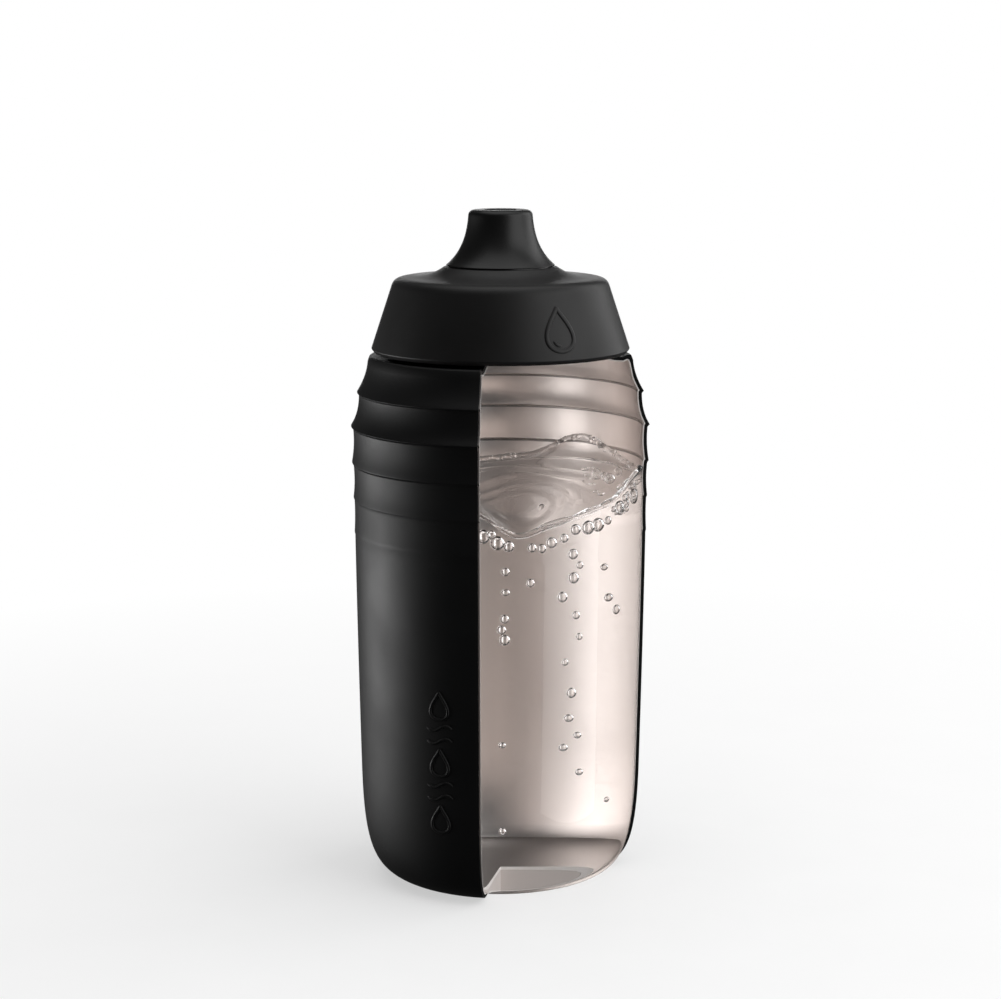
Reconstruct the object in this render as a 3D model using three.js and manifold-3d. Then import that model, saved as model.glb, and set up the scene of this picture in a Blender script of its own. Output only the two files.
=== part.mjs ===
// A sports squeeze bottle with a metal-lined elastic body, a screw cap and a push-pull nozzle.
// A sector of the body is cut away, floor to shoulder, so that the lining and the inside show.
// Millimetres, +Z up, the base on z = 0 and the axis on x = y = 0. The front faces -Y.

import * as THREE from 'three';
import { mergeVertices } from 'three/addons/utils/BufferGeometryUtils.js';
import Module from 'manifold-3d';

const wasm = await Module();
wasm.setup();

const FULL_TURN = 2 * Math.PI;
const ROUND_SEGMENTS = 48;
const SMALL_SEGMENTS = 32;

// Body: wall thicknesses, and the sector that is cut out of it.
const SHELL_WALL = 0.75;
const LINER_GAP = 0.1;
const LINER_WALL = 0.25;
const FLOOR_UNDERSIDE = 4;
const FLOOR_THICKNESS = 0.6;
const WINDOW_START_DEG = -98.4;
const WINDOW_END_DEG = 0;
const WINDOW_TOP = 133;

// Each ring of the body ends below in a sharp lip, with a small step in under it.
// bow is the middle of the hollow between the lip and the next ring's step.
const LIP_DROP = 0.5;
const RINGS = [
  { lip: [36.4, 87.8], step: 0.15, bow: [36.15, 91.9] },
  { lip: [36.57, 96.5], step: 0.22, bow: [36.05, 100.6] },
  { lip: [36.88, 105.3], step: 0.38, bow: [36.1, 109.5] },
  { lip: [37.06, 114.3], step: 0.55, bow: [34.98, 117.5] },
  { lip: [35.5, 122.7], step: 0.5, bow: [33.1, 126.5] },
];

// Neck and its two-start right-hand thread.
const NECK_BORE = 21.6;
const NECK_RADIUS = 23;
const NECK_TOP = 147;
const THREAD_STARTS = 2;
const THREAD_LEAD = 8;
const THREAD_SWEEP_DEG = 220;
const NECK_THREAD_CREST = 24.2;
const NECK_THREAD_FOOT = 136.2;

// Cap.
const SKIRT_BORE = 24.6;
const SKIRT_RADIUS = 25.4;
const SKIRT_FOOT = 133.2;
const CAP_THREAD_CREST = 23.4;
const DECK_UNDER = 148.3;
const DECK_TOP = 149.45;
const RIB_COUNT = 12;
const RIB_WIDTH = 1.2;

// Valve and nozzle.
const TUBE_BORE = 4;
const TUBE_RADIUS = 5.2;
const TUBE_TOP = 160;
const STEM_FLANGE_RADIUS = 9.5;
const THROAT_RADIUS = 3.45;
const PLUG_RADIUS = 3.2;
const SPOKE_COUNT = 3;
const O_RING_RADIUS = 5.68;
const O_RING_SECTION = 0.35;
const O_RING_HEIGHT = 151.7;
const NOZZLE_TOP = 167.3;

const toRadians = THREE.MathUtils.degToRad;
const vector = ([radius, height]) => new THREE.Vector2(radius, height);

// ---- Materials ----

function material(color, roughness, metalness = 0) {
  return new THREE.MeshStandardMaterial({ color, roughness, metalness });
}

const softBody = material(0x161616, 0.62);
const softTouch = material(0x1a1a1a, 0.7);
const titanium = material(0xb7a69e, 0.32, 1);
const hardPlastic = material(0x232323, 0.5);
const silicone = material(0x3a3a3a, 0.75);
const paleRubber = material(0xcfc7c2, 0.45);
const mouthpieceRubber = material(0x181818, 0.66);

// ---- Outlines, as [radius, height] points ----

function bow(start, handle, end, divisions) {
  const curve = new THREE.QuadraticBezierCurve(vector(start), vector(handle), vector(end));
  return curve.getPoints(divisions).map((point) => [point.x, point.y]);
}

function bend(start, startHandle, endHandle, end, divisions) {
  const curve = new THREE.CubicBezierCurve(
    vector(start), vector(startHandle), vector(endHandle), vector(end));
  return curve.getPoints(divisions).map((point) => [point.x, point.y]);
}

// The same outline moved to its left by a distance, with mitred corners.
function inset(path, distance) {
  const points = path.map(vector);
  const leftOf = (from, to) => {
    const along = to.clone().sub(from).normalize();
    return new THREE.Vector2(-along.y, along.x);
  };
  const last = points.length - 1;
  return points.map((point, index) => {
    const after = index < last ? leftOf(point, points[index + 1]) : leftOf(points[index - 1], point);
    const before = index > 0 ? leftOf(points[index - 1], point) : after;
    const mitre = before.clone().add(after).normalize();
    const moved = point.clone().addScaledVector(mitre, distance / mitre.dot(after));
    return [moved.x, moved.y];
  });
}

function ringedWall() {
  const path = [];
  RINGS.forEach(({ lip, step, bow: middle }, index) => {
    path.push([lip[0] - step, lip[1] - LIP_DROP]);
    const next = RINGS[index + 1];
    const end = next ? [next.lip[0] - next.step, next.lip[1] - LIP_DROP] : [32.75, 130.4];
    path.push(...bow(lip, middle, end, 3).slice(0, -1));
  });
  return path;
}

// Outside of the body, from the middle of the base up to under the rim.
function bodyWall() {
  const baseCorner = bend([17.35, 0], [30.3, 0], [34.6, 0], [35.2, 27], 8);
  return [[0, 0], ...baseCorner, [35.95, 58], ...ringedWall()];
}

// Rim, the groove behind it, the shoulder and the neck.
function shoulderAndNeck() {
  return [
    [32.75, 130.4], [32.35, 131.5], [31.8, 131.8], [31.1, 131.6], [30.2, 131.1], [28.2, 131.15],
    [24.2, 132], [23.2, 132.5], [NECK_RADIUS, 133], [NECK_RADIUS, NECK_TOP],
  ];
}

// Inside of the shell, from the middle of the floor up to the mouth.
function bodyInside() {
  const wall = inset(bodyWall(), SHELL_WALL).filter(([, height]) => height < 127);
  return [
    ...wall, [32.2, 129.6], [31.85, 130.5], [31.3, 130.75], [30.3, 130.3], [28.2, 130.4],
    [22.9, 131.5], [21.8, 132.2], [NECK_BORE, 133.2], [NECK_BORE, NECK_TOP],
  ];
}

// ---- Solids ----

function closedMesh(geometry) {
  const bare = geometry.clone();
  bare.deleteAttribute('normal');
  bare.deleteAttribute('uv');
  const merged = mergeVertices(bare, 1e-4);
  return new wasm.Manifold(new wasm.Mesh({
    numProp: 3,
    vertProperties: new Float32Array(merged.attributes.position.array),
    triVerts: new Uint32Array(merged.index.array),
  }));
}

// A solid of revolution about +Z. The outline runs with the material on its left.
function turned(outline, segments = ROUND_SEGMENTS) {
  const onAxis = outline[0][0] === 0 && outline.at(-1)[0] === 0;
  const points = outline.map(vector);
  if (!onAxis) {
    points.push(points[0].clone());
  }
  return closedMesh(new THREE.LatheGeometry(points, segments).rotateX(Math.PI / 2));
}

function toGeometry(solid) {
  const mesh = solid.getMesh();
  const geometry = new THREE.BufferGeometry();
  geometry.setAttribute('position', new THREE.BufferAttribute(mesh.vertProperties, 3));
  geometry.setIndex(new THREE.BufferAttribute(mesh.triVerts, 1));
  geometry.computeVertexNormals();
  return geometry;
}

// The sector that is taken out of the body, as a prism on the axis.
function windowWedge() {
  const reach = 60;
  const middle = (WINDOW_START_DEG + WINDOW_END_DEG) / 2;
  const corners = [WINDOW_START_DEG, middle, WINDOW_END_DEG].map((degrees) => {
    const angle = toRadians(degrees);
    return new THREE.Vector2(reach * Math.cos(angle), reach * Math.sin(angle));
  });
  const shape = new THREE.Shape([new THREE.Vector2(0, 0), ...corners]);
  const prism = new THREE.ExtrudeGeometry(shape, { depth: WINDOW_TOP + 1, bevelEnabled: false });
  return closedMesh(prism.translate(0, 0, -1));
}

// One start of a screw thread: a bar of tapered section wound along a helix.
// root and crest are radii, and the bar sinks into its wall at both ends.
function threadStart(root, crest, foot, startDeg) {
  const halfRoot = 0.8;
  const halfCrest = 0.45;
  const steps = 22;
  const section = new THREE.Shape([
    new THREE.Vector2(0, -halfRoot), new THREE.Vector2(1, -halfCrest),
    new THREE.Vector2(1, halfCrest), new THREE.Vector2(0, halfRoot),
  ]);
  const bar = new THREE.ExtrudeGeometry(section, { depth: 1, steps, bevelEnabled: false });
  const place = bar.attributes.position;
  for (let index = 0; index < place.count; index += 1) {
    const along = place.getZ(index);
    const fade = Math.min(1, 8 * Math.min(along, 1 - along) + 0.12);
    const radius = root + (crest - root) * place.getX(index) * fade;
    const turn = toRadians(startDeg + THREAD_SWEEP_DEG * along);
    const rise = THREAD_LEAD * THREAD_SWEEP_DEG * along / 360;
    const height = foot + rise + place.getY(index);
    place.setXYZ(index, radius * Math.cos(turn), radius * Math.sin(turn), height);
  }
  const solid = closedMesh(bar);
  return solid.volume() > 0 ? solid : closedMesh(flipped(bar));
}

function flipped(geometry) {
  const turnedOver = mergeVertices(geometry);
  const index = turnedOver.index.array;
  for (let corner = 0; corner < index.length; corner += 3) {
    [index[corner], index[corner + 1]] = [index[corner + 1], index[corner]];
  }
  return turnedOver;
}

function withThread(solid, root, crest, foot) {
  let threaded = solid;
  for (let start = 0; start < THREAD_STARTS; start += 1) {
    threaded = threaded.add(threadStart(root, crest, foot, start * 360 / THREAD_STARTS));
  }
  return threaded;
}

// ---- Pieces ----

function bottleShell() {
  const outline = [...bodyWall(), ...shoulderAndNeck(), ...bodyInside().reverse()];
  const shell = turned(outline);
  const threaded = withThread(shell, NECK_RADIUS - 0.3, NECK_THREAD_CREST, NECK_THREAD_FOOT);
  return threaded.subtract(windowWedge());
}

function titaniumLiner() {
  const outside = inset(bodyInside(), LINER_GAP);
  const inside = inset(bodyInside(), LINER_GAP + LINER_WALL);
  return turned([...outside, ...inside.reverse()]).subtract(windowWedge());
}

// Radius at which an outline that runs upwards first passes a height.
function radiusAt(path, height) {
  const above = path.findIndex(([, level]) => level > height);
  const [lowRadius, low] = path[above - 1];
  const [highRadius, high] = path[above];
  return lowRadius + (highRadius - lowRadius) * (height - low) / (high - low);
}

// Flat raised floor of the lining, a disc that stops just short of the rounded foot's wall.
function linerFloor() {
  const wall = inset(bodyInside(), LINER_GAP + LINER_WALL);
  const edge = radiusAt(wall, FLOOR_UNDERSIDE) - LINER_GAP;
  const top = FLOOR_UNDERSIDE + FLOOR_THICKNESS;
  const disc = turned([[0, FLOOR_UNDERSIDE], [edge, FLOOR_UNDERSIDE], [edge, top], [0, top]]);
  return disc.subtract(windowWedge());
}

// Pale pad that fills the rounded foot under the raised floor.
function floorPad() {
  const wall = inset(bodyInside(), LINER_GAP + LINER_WALL + LINER_GAP);
  const top = FLOOR_UNDERSIDE - LINER_GAP;
  const below = wall.filter(([, height]) => height < top);
  return turned([...below, [radiusAt(wall, top), top], [0, top]]).subtract(windowWedge());
}

// A raised water drop on the sloping side of the cap, right of the front.
function dropBadge() {
  const halfWidth = 4;
  const tip = 5.4;
  const shape = new THREE.Shape();
  shape.moveTo(0, tip);
  shape.bezierCurveTo(1.2, 2.8, halfWidth, 1, halfWidth, -1.4);
  shape.bezierCurveTo(halfWidth, -6, -halfWidth, -6, -halfWidth, -1.4);
  shape.bezierCurveTo(-halfWidth, 1, -1.2, 2.8, 0, tip);
  const badge = new THREE.ExtrudeGeometry(shape, { depth: 0.9, bevelEnabled: false, curveSegments: 6 });
  badge.rotateX(Math.PI / 2 - toRadians(18.3));
  badge.translate(0, -28.95, 141);
  badge.rotateZ(toRadians(28));
  return closedMesh(badge);
}

function capCover() {
  const shoulder = bend([26.95, 148.3], [26.4, 150.3], [25.6, 150.8], [23.3, 150.9], 5);
  const flare = bend([23.3, 150.9], [17.5, 151.05], [16.2, 151.9], [13.8, 153.45], 6);
  const outside = [[31, 132.5], [31.83, 133.5], ...shoulder, ...flare.slice(1), [12.7, 153.45]];
  const inside = [
    [12.7, 150.3], [15.5, 149.75], [24.5, 149.75], [25.2, 149.2], [25.75, 147.8], [30.4, 133.6],
    [30.4, 132.7],
  ];
  return turned([...outside, ...inside]).add(dropBadge());
}

function coreRib(index) {
  const shape = new THREE.Shape([
    new THREE.Vector2(SKIRT_RADIUS - 0.3, 134.2), new THREE.Vector2(29.85, 134.2),
    new THREE.Vector2(25.65, 147), new THREE.Vector2(SKIRT_RADIUS - 0.3, 147),
  ]);
  const rib = new THREE.ExtrudeGeometry(shape, { depth: RIB_WIDTH, bevelEnabled: false });
  rib.translate(0, 0, -RIB_WIDTH / 2).rotateX(Math.PI / 2).rotateZ(index * FULL_TURN / RIB_COUNT);
  return closedMesh(rib);
}

function capCore() {
  const stemHole = TUBE_RADIUS + 0.35;
  const cup = turned([
    [stemHole, DECK_UNDER], [SKIRT_BORE, DECK_UNDER], [SKIRT_BORE, SKIRT_FOOT + 0.4],
    [SKIRT_BORE + 0.3, SKIRT_FOOT], [SKIRT_RADIUS, SKIRT_FOOT], [SKIRT_RADIUS, 147.6],
    [24.2, DECK_TOP], [stemHole, DECK_TOP],
  ]);
  const foot = NECK_THREAD_FOOT - THREAD_LEAD / THREAD_STARTS / 2;
  let core = withThread(cup, SKIRT_BORE + 0.3, CAP_THREAD_CREST, foot);
  for (let index = 0; index < RIB_COUNT; index += 1) {
    core = core.add(coreRib(index));
  }
  return core;
}

function capGasket() {
  return turned([[21.3, 147.2], [24.3, 147.2], [24.3, 148.1], [21.3, 148.1]]);
}

function stemSpoke(index) {
  const length = TUBE_BORE - 1.5;
  const spoke = new THREE.BoxGeometry(length, 1.4, 2.5);
  spoke.translate(1.8 + length / 2, 0, 158.25).rotateZ(index * FULL_TURN / SPOKE_COUNT);
  return closedMesh(spoke);
}

// Hollow stem with a catch bead at its top, and the plug that closes the nozzle's throat.
function valveStem() {
  const tube = turned([
    [TUBE_BORE, 146.4], [STEM_FLANGE_RADIUS, 146.4], [STEM_FLANGE_RADIUS, 147.5],
    [TUBE_RADIUS, 147.5], [TUBE_RADIUS, 149.75], [5.8, 149.8], [5.5, 150.25], [TUBE_RADIUS, 150.3],
    [TUBE_RADIUS, 158.7], [5.55, 158.9], [5.55, 159.5], [TUBE_RADIUS, TUBE_TOP],
    [TUBE_BORE, TUBE_TOP],
  ], SMALL_SEGMENTS);
  const plug = turned([
    [0, 156.5], [2.2, 156.5], [2.2, 161], [PLUG_RADIUS, 161.8], [PLUG_RADIUS, 163.8],
    [2.6, 164.3], [0, 164.6],
  ], SMALL_SEGMENTS);
  let stem = tube.add(plug);
  for (let index = 0; index < SPOKE_COUNT; index += 1) {
    stem = stem.add(stemSpoke(index));
  }
  return stem;
}

function stemSeal() {
  return turned([[5.6, 147.65], [9.3, 147.65], [9.3, 148.15], [5.6, 148.15]], SMALL_SEGMENTS);
}

function nozzleCore() {
  return turned([
    [5.35, 150.6], [6.9, 150.6], [6.9, 152.2], [11.2, 152.2], [11.2, 150.9], [12.3, 150.9],
    [12.3, 153.4], [7.7, 153.5], [6.9, 154.4], [6.9, 162.4], [5.6, 164], [THROAT_RADIUS, 164],
    [THROAT_RADIUS, 162.4], [5.75, 160.9], [5.75, 153.7], [5.35, 153.4], [5.35, 152.2],
    [6.1, 152.2], [6.1, 151.2], [5.35, 151.2],
  ], SMALL_SEGMENTS);
}

function nozzleGrip() {
  const side = bend([13.4, 153.85], [10, 156.6], [8.3, 160.6], [7.9, 165.9], 9);
  return turned([
    [7.9, 153.85], ...side, [7.6, 166.65], [6.95, NOZZLE_TOP - 0.1], [6.4, NOZZLE_TOP],
    [4.1, NOZZLE_TOP], [3.65, NOZZLE_TOP - 0.4], [3.65, 164.25], [5.8, 164.25], [7.2, 162.5],
    [7.2, 154.6],
  ]);
}

function nozzleORing() {
  const ring = new THREE.TorusGeometry(O_RING_RADIUS, O_RING_SECTION, 8, SMALL_SEGMENTS);
  return closedMesh(ring.translate(0, 0, O_RING_HEIGHT));
}

// ---- Assembly ----

const bottle = new THREE.Group();

function add(name, solid, look) {
  const mesh = new THREE.Mesh(toGeometry(solid), look);
  mesh.name = name;
  bottle.add(mesh);
}

add('bottle_shell', bottleShell(), softBody);
add('titanium_liner', titaniumLiner(), titanium);
add('liner_floor', linerFloor(), titanium);
add('floor_pad', floorPad(), paleRubber);
add('cap_cover', capCover(), softTouch);
add('cap_core', capCore(), hardPlastic);
add('cap_gasket', capGasket(), silicone);
add('valve_stem', valveStem(), hardPlastic);
add('stem_seal', stemSeal(), silicone);
add('nozzle_core', nozzleCore(), hardPlastic);
add('nozzle_o_ring', nozzleORing(), silicone);
add('nozzle_grip', nozzleGrip(), mouthpieceRubber);

export default bottle;
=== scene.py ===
# A cutaway sports squeeze bottle: matte elastic body, metal lining, water with bubbles, cap and nozzle.
# Outlines are [radius, height] points in millimetres, with the base on z = 0, and become metres when built.
import math
import random

import bpy
from mathutils import Matrix, Vector, noise


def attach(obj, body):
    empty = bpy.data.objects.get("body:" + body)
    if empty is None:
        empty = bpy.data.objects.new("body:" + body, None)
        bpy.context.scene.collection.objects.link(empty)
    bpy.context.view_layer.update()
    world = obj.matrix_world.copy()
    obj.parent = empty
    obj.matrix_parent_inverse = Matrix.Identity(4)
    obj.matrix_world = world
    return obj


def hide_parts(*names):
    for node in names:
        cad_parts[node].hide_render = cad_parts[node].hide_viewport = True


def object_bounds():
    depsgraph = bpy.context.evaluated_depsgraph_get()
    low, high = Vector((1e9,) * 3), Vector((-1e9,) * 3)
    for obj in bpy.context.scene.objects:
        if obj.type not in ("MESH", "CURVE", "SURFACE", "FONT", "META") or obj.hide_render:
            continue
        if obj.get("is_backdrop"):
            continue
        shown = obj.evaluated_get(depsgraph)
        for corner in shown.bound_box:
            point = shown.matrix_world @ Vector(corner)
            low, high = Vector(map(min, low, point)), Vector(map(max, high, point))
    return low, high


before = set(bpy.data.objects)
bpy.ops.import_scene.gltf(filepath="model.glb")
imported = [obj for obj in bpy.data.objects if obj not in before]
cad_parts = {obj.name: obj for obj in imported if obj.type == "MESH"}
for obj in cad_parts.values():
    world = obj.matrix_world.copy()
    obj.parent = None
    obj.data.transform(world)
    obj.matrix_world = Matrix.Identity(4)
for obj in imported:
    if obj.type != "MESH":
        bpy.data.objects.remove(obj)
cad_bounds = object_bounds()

MM = 0.001
FINE = 192
SMALL = 96

# ---- Sizes shared with the CAD part ----

SHELL_WALL = 0.75
LINER_GAP = 0.1
LINER_WALL = 0.25
FLOOR_UNDERSIDE = 4.0
FLOOR_THICKNESS = 0.6
TOUCH = 0.02  # gap between the floor plate, the pad and the lining
WINDOW_START = -98.4
WINDOW_END = 0.0
WINDOW_TOP = 133.0
LIP_DROP = 0.5
RINGS = [
    # sharp lower lip, step in under it, middle of the hollow above it
    ((36.40, 87.8), 0.15, (36.15, 91.9)),
    ((36.57, 96.5), 0.22, (36.05, 100.6)),
    ((36.88, 105.3), 0.38, (36.10, 109.5)),
    ((37.06, 114.3), 0.55, (34.98, 117.5)),
    ((35.50, 122.7), 0.50, (33.10, 126.5)),
]
RIM_FOOT = (32.75, 130.4)
NECK_BORE = 21.6
NECK_RADIUS = 23.0
NECK_TOP = 147.0
THREAD_STARTS = 2
THREAD_LEAD = 8.0
THREAD_SWEEP = 220.0
NECK_THREAD_CREST = 24.2
NECK_THREAD_FOOT = 136.2
SKIRT_BORE = 24.6
SKIRT_RADIUS = 25.4
SKIRT_FOOT = 133.2
CAP_THREAD_CREST = 23.4
DECK_UNDER = 148.3
DECK_TOP = 149.45
RIB_COUNT = 12
SPOKE_COUNT = 3
TUBE_BORE = 4.0
TUBE_RADIUS = 5.2
NOZZLE_TOP = 167.3

# ---- Outlines ----


def bow(start, handle, end, divisions):
    """A quadratic curve from start to end."""
    points = []
    for step in range(divisions + 1):
        t = step / divisions
        a, b, c = (1 - t) ** 2, 2 * t * (1 - t), t * t
        points.append(tuple(a * s + b * h + c * e for s, h, e in zip(start, handle, end)))
    return points


def bend(start, first, second, end, divisions):
    """A cubic curve from start to end."""
    points = []
    for step in range(divisions + 1):
        t = step / divisions
        a, b, c, d = (1 - t) ** 3, 3 * t * (1 - t) ** 2, 3 * t * t * (1 - t), t ** 3
        point = tuple(a * s + b * f + c * g + d * e for s, f, g, e in zip(start, first, second, end))
        points.append(point)
    return points


def soften(path, radius, closed=False, least_turn=22.0, pieces=4):
    """Rounds each corner of a path that turns by more than least_turn degrees."""
    count = len(path)
    result = []
    for index, point in enumerate(path):
        here = Vector(point)
        if not closed and index in (0, count - 1):
            result.append(tuple(here))
            continue
        before = Vector(path[index - 1])
        after = Vector(path[(index + 1) % count])
        arrive, leave = here - before, after - here
        turn = math.degrees(arrive.angle(leave, 0.0))
        if turn < least_turn or here.x < 0.01:
            result.append(tuple(here))
            continue
        reach = min(radius, 0.45 * arrive.length, 0.45 * leave.length)
        start = here - arrive.normalized() * reach
        end = here + leave.normalized() * reach
        result.extend(bow(tuple(start), tuple(here), tuple(end), pieces))
    return result


def inset(path, distance):
    """The same path moved to its left, with mitred corners."""
    points = [Vector(p) for p in path]
    last = len(points) - 1

    def left_of(start, end):
        along = (end - start).normalized()
        return Vector((-along.y, along.x))

    moved = []
    for index, point in enumerate(points):
        after = left_of(point, points[index + 1]) if index < last else left_of(points[index - 1], point)
        before = left_of(points[index - 1], point) if index > 0 else after
        mitre = (before + after).normalized()
        moved.append(tuple(point + mitre * (distance / mitre.dot(after))))
    return moved


def ringed_wall(divisions):
    path = []
    for index, (lip, step, middle) in enumerate(RINGS):
        path.append((lip[0] - step, lip[1] - LIP_DROP))
        end = RIM_FOOT
        if index + 1 < len(RINGS):
            upper, upper_step, _ = RINGS[index + 1]
            end = (upper[0] - upper_step, upper[1] - LIP_DROP)
        path.extend(bow(lip, middle, end, divisions)[:-1])
    return path


def body_wall(divisions=8):
    corner = bend((17.35, 0), (30.3, 0), (34.6, 0), (35.2, 27), 28)
    straight = bow((35.2, 27), (35.9, 58), (36.22, 84), 6)[1:]
    return [(0, 0), *corner, *straight, *ringed_wall(divisions)]


def body_inside():
    wall = [p for p in inset(body_wall(), SHELL_WALL) if p[1] < 127]
    ceiling = [
        (32.2, 129.6), (31.85, 130.5), (31.3, 130.75), (30.3, 130.3), (28.2, 130.4), (22.9, 131.5),
        (21.8, 132.2),
    ]
    return [*wall, *ceiling, (NECK_BORE, 133.2), (NECK_BORE, NECK_TOP)]


def shoulder_outside():
    return [
        RIM_FOOT, (32.35, 131.5), (31.8, 131.8), (31.1, 131.6), (30.2, 131.1), (28.2, 131.15),
        (24.2, 132.0), (23.2, 132.5), (NECK_RADIUS, WINDOW_TOP),
    ]


# ---- Mesh building ----


class Solid:
    """Collects closed shells in millimetres and turns them into one object."""

    def __init__(self):
        self.points = []
        self.faces = []

    def revolve(self, outline, segments=FINE, sweep=None):
        """Turns a closed outline, material on its left, about the axis. sweep is (start, end) degrees."""
        full = sweep is None
        start, end = (0.0, 360.0) if full else sweep
        columns = segments if full else segments + 1
        rows = []
        for radius, height in outline:
            if radius < 1e-6:
                self.points.append((0.0, 0.0, height))
                rows.append([len(self.points) - 1] * columns)
                continue
            row = []
            for column in range(columns):
                angle = math.radians(start + (end - start) * column / segments)
                self.points.append((radius * math.cos(angle), radius * math.sin(angle), height))
                row.append(len(self.points) - 1)
            rows.append(row)
        open_ended = outline[0][0] < 1e-6 and outline[-1][0] < 1e-6
        pairs = list(zip(rows, rows[1:]))
        if not open_ended:
            pairs.append((rows[-1], rows[0]))
        for lower, upper in pairs:
            for column in range(segments):
                after = (column + 1) % columns
                corners = [lower[column], lower[after], upper[after], upper[column]]
                unique = list(dict.fromkeys(corners))
                if len(unique) > 2:
                    self.faces.append(unique)
        if not full:
            self.faces.append([row[0] for row in rows])
            self.faces.append([row[-1] for row in reversed(rows)])
        return self

    def loft(self, sections, closed=False):
        """Joins rings of points, given in order, and closes both ends with faces."""
        rows = []
        for section in sections:
            first = len(self.points)
            self.points.extend(section)
            rows.append(list(range(first, first + len(section))))
        pairs = list(zip(rows, rows[1:]))
        if closed:
            pairs.append((rows[-1], rows[0]))
        for lower, upper in pairs:
            for index in range(len(lower)):
                after = (index + 1) % len(lower)
                self.faces.append([lower[index], lower[after], upper[after], upper[index]])
        if not closed:
            self.faces.append(list(reversed(rows[0])))
            self.faces.append(rows[-1])
        return self

    def ball(self, centre, radius, inward=False, squash=1.0, rings=16, segments=24):
        """A sphere. inward turns its faces round, for a hollow in another solid."""
        outline = []
        for ring in range(rings + 1):
            angle = -math.pi / 2 + math.pi * ring / rings
            outline.append((max(0.0, radius * math.cos(angle)), squash * radius * math.sin(angle)))
        first_point, first_face = len(self.points), len(self.faces)
        self.revolve([(0.0, outline[0][1]), *outline[1:-1], (0.0, outline[-1][1])], segments)
        for index in range(first_point, len(self.points)):
            x, y, z = self.points[index]
            self.points[index] = (x + centre[0], y + centre[1], z + centre[2])
        if inward:
            for index in range(first_face, len(self.faces)):
                self.faces[index] = list(reversed(self.faces[index]))
        return self

    def build(self, name, material, smooth_angle=35.0):
        mesh = bpy.data.meshes.new(name)
        mesh.from_pydata([(x * MM, y * MM, z * MM) for x, y, z in self.points], [], self.faces)
        mesh.validate()
        mesh.shade_smooth()
        mesh.set_sharp_from_angle(angle=math.radians(smooth_angle))
        mesh.materials.append(material)
        piece = bpy.data.objects.new(name, mesh)
        bpy.context.scene.collection.objects.link(piece)
        return piece


def thread(solid, root, crest, foot):
    """Adds both starts of a screw thread whose ends sink into their wall."""
    half_root, half_crest, steps = 0.8, 0.45, 90
    outward = 1 if crest > root else -1
    for start in range(THREAD_STARTS):
        sections = []
        for step in range(steps + 1):
            along = step / steps
            fade = min(1.0, 8 * min(along, 1 - along) + 0.12)
            angle = math.radians(360 / THREAD_STARTS * start + THREAD_SWEEP * along)
            middle = foot + THREAD_LEAD * THREAD_SWEEP * along / 360
            tip = root + (crest - root) * fade
            near = tip - 0.15 * outward * fade
            section = [
                (root, -half_root), (near, -half_crest - 0.08), (tip, -half_crest + 0.08),
                (tip, half_crest - 0.08), (near, half_crest + 0.08), (root, half_root),
            ]
            ring = [(r * math.cos(angle), r * math.sin(angle), middle + z) for r, z in section]
            sections.append(ring if outward < 0 else list(reversed(ring)))
        solid.loft(sections)


# ---- Materials ----

FLOOR_AS_LIGHT = 0.15


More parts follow.
